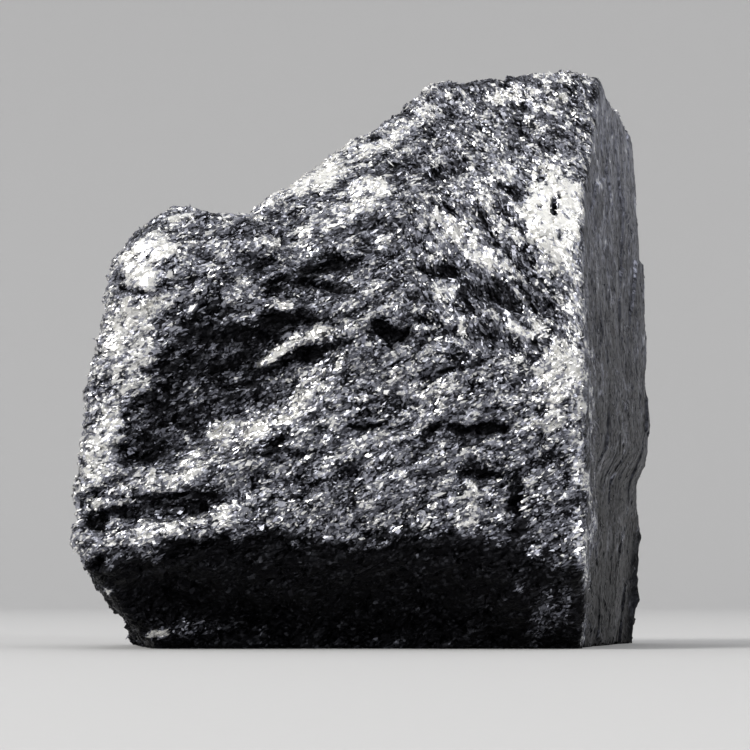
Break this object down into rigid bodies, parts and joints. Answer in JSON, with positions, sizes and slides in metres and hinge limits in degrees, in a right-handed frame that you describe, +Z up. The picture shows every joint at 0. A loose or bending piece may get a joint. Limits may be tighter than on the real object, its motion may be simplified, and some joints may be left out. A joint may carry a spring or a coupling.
{
  "type": "graphite specimen",
  "caption": "Rough lump of foliated graphite with a low lobe beside a tall ridge, an overhanging front foot and a flat base to rest on.",
  "frame": {"origin": "middle of the box around the lump, on the flat base", "axes": "+Z up from the base, +X to the right as seen from the front, so the tall ridge is at +X and the low lobe at -X; the front face with the overhang looks along -Y"},
  "size_m": [0.0564, 0.044, 0.0556],
  "materials": {
    "graphite": "dark grey with a metallic, flaky gleam; darker and duller in the hollows and under the overhang"
  },
  "bodies": {
    "root": {"graphite_lump": "graphite"}
  },
  "joints": []
}
